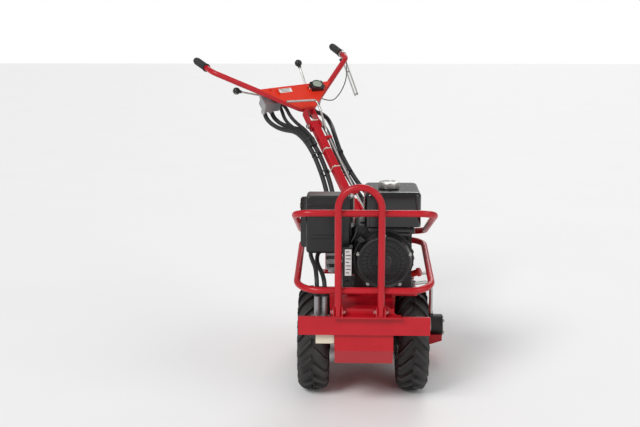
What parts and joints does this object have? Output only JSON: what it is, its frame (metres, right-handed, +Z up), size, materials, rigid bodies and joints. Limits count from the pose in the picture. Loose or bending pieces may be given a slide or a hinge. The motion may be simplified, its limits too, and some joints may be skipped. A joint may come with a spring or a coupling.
{
  "type": "walk-behind rear-tine tiller",
  "caption": "Red hydraulic walk-behind tiller: guarded petrol engine over two lugged tyres, front bumper and hoop, rear tine hood, and a swinging V handlebar with hoses and levers.",
  "frame": {"origin": "on the ground, under the middle of the whole machine with its handle column swung to the -X side", "axes": "+Z up, -Y to the front bumper, +Y to the operator, +X to the side that carries the tine motor"},
  "size_m": [1.1326, 1.6264, 1.3043],
  "materials": {
    "red_paint": "gloss",
    "black_plastic": "matte",
    "tank_black": "gloss",
    "rubber_hose": "matte",
    "grip_rubber": "matte",
    "tyre_rubber": "matte",
    "rim_paint": "satin",
    "cast_iron": "satin",
    "cast_aluminium": "cast",
    "zinc_steel": "satin",
    "tine_steel": "worn",
    "muffler_steel": "satin",
    "cable_black": "matte"
  },
  "bodies": {
    "chassis": {"air_cleaner": "black_plastic", "blower_housing": "black_plastic", "carburettor": "cast_aluminium", "chassis_frame": "red_paint", "control_panel": "black_plastic", "drive_block": "cast_aluminium", "drive_hoses": "rubber_hose", "engine_block": "cast_aluminium", "engine_plate": "red_paint", "front_bar": "red_paint", "front_hoop": "red_paint", "fuel_tank": "tank_black", "hoop_bracket": "red_paint", "lower_guard": "red_paint", "motor_guard": "red_paint", "motor_lines": "zinc_steel", "muffler": "muffler_steel", "pump": "cast_aluminium", "recoil_cover": "black_plastic", "stake_arm": "red_paint", "swing_mast": "red_paint", "tine_hood": "red_paint", "tine_motor": "cast_iron", "upper_guard": "red_paint", "wheel_motors": "cast_iron"},
    "wheel_left": {"hub_left": "cast_iron", "rim_left": "rim_paint", "tyre_left": "tyre_rubber"},
    "wheel_right": {"hub_right": "cast_iron", "rim_right": "rim_paint", "tyre_right": "tyre_rubber"},
    "crank": {"crankshaft": "cast_iron"},
    "tine_rotor": {"tine_shaft": "zinc_steel", "tines": "tine_steel"},
    "flap": {"rear_flap": "red_paint"},
    "stake": {"depth_stake": "zinc_steel"},
    "column": {"pivot_head": "red_paint", "neck_tube": "red_paint", "hoses_left": "rubber_hose", "hoses_right": "rubber_hose"},
    "lock": {"lock_rod": "zinc_steel"},
    "handle": {"fork": "red_paint", "handlebar": "red_paint", "grips": "grip_rubber", "panel": "red_paint", "hour_meter": "black_plastic", "valve_left": "cast_iron", "valve_right": "cast_iron", "presence_clamp": "zinc_steel", "presence_cable": "cable_black"},
    "drive_control": {"drive_lever": "zinc_steel"},
    "tine_control": {"tine_lever": "zinc_steel"},
    "presence": {"presence_lever": "zinc_steel"},
    "starter_grip": {"recoil_handle": "black_plastic"},
    "throttle": {"throttle_lever": "black_plastic"},
    "choke": {"choke_lever": "black_plastic"},
    "switch": {"engine_switch": "black_plastic"},
    "fuel_lid": {"fuel_cap": "zinc_steel"},
    "oil_lid": {"tank_cap": "black_plastic"},
    "cleaner_knob": {"air_cleaner_knob": "black_plastic"}
  },
  "joints": [
    {"name": "wheel_left_spin", "type": "hinge", "parent": "chassis", "child": "wheel_left", "pos_m": [0.03333, -0.4489, 0.2], "axis": [1, 0, 0], "continuous": true},
    {"name": "wheel_right_spin", "type": "hinge", "parent": "chassis", "child": "wheel_right", "pos_m": [0.40933, -0.4489, 0.2], "axis": [1, 0, 0], "continuous": true},
    {"name": "crank_spin", "type": "hinge", "parent": "chassis", "child": "crank", "pos_m": [0.29233, -0.4489, 0.555], "axis": [0, 1, 0], "continuous": true},
    {"name": "tine_spin", "type": "hinge", "parent": "chassis", "child": "tine_rotor", "pos_m": [0.22133, -0.0489, 0.128], "axis": [1, 0, 0], "continuous": true},
    {"name": "flap_hinge", "type": "hinge", "parent": "chassis", "child": "flap", "pos_m": [0.22133, 0.10545, 0.186], "axis": [1, 0, 0], "range_deg": [0, 60]},
    {"name": "stake_slide", "type": "slide", "parent": "chassis", "child": "stake", "axis": [0, 0, 1], "range_m": [-0.08, 0]},
    {"name": "column_swing", "type": "hinge", "parent": "chassis", "child": "column", "pos_m": [0.22133, -0.1189, 0.577], "axis": [0, -0.1736, 0.9848], "range_deg": [-58, 2], "deforming": ["hoses_left", "hoses_right"]},
    {"name": "handle_tilt", "type": "hinge", "parent": "column", "child": "handle", "pos_m": [0.01296, 0.21244, 0.95473], "axis": [0.8829, 0.4623, 0.0815], "range_deg": [-20, 0], "deforming": ["hoses_left", "hoses_right"]},
    {"name": "lock_rod_twist", "type": "hinge", "parent": "column", "child": "lock", "pos_m": [0.17867, 0.01442, 0.72454], "axis": [-0.3831, 0.6091, 0.6944], "range_deg": [0, 60]},
    {"name": "drive_lever_rock", "type": "hinge", "parent": "handle", "child": "drive_control", "pos_m": [-0.03042, 0.43439, 1.09801], "axis": [0.8829, 0.4623, 0.0815], "range_deg": [-15, 15], "stiffness_Nm_per_rad": 8},
    {"name": "tine_lever_swing", "type": "hinge", "parent": "handle", "child": "tine_control", "pos_m": [-0.22955, 0.33425, 1.075], "axis": [0.2252, -0.5694, 0.7906], "range_deg": [-15, 15], "stiffness_Nm_per_rad": 8},
    {"name": "presence_lever_squeeze", "type": "hinge", "parent": "handle", "child": "presence", "pos_m": [0.13533, 0.68617, 1.22437], "axis": [0.8915, 0.3008, 0.3387], "range_deg": [0, 75], "stiffness_Nm_per_rad": 1.5, "springref_deg": -20.05},
    {"name": "recoil_pull", "type": "slide", "parent": "chassis", "child": "starter_grip", "axis": [-0.7071, 0, 0.7071], "range_m": [0, 0.25], "stiffness_N_per_m": 40, "springref_m": -0.2},
    {"name": "throttle_turn", "type": "hinge", "parent": "chassis", "child": "throttle", "pos_m": [0.09133, -0.5909, 0.522], "axis": [0, 1, 0], "range_deg": [0, 35]},
    {"name": "choke_turn", "type": "hinge", "parent": "chassis", "child": "choke", "pos_m": [0.12333, -0.5909, 0.553], "axis": [0, 1, 0], "range_deg": [-20, 0]},
    {"name": "switch_turn", "type": "hinge", "parent": "chassis", "child": "switch", "pos_m": [0.16133, -0.6509, 0.47], "axis": [0, 1, 0], "range_deg": [0, 60]},
    {"name": "fuel_cap_lift", "type": "slide", "parent": "chassis", "child": "fuel_lid", "axis": [0, 0, 1], "range_m": [0, 0.03]},
    {"name": "oil_cap_turn", "type": "hinge", "parent": "chassis", "child": "oil_lid", "pos_m": [0.18933, -0.2109, 0.413], "axis": [0, 0, 1], "continuous": true},
    {"name": "cleaner_knob_turn", "type": "hinge", "parent": "chassis", "child": "cleaner_knob", "pos_m": [0.00933, -0.5369, 0.735], "axis": [1, 0, 0], "continuous": true}
  ]
}
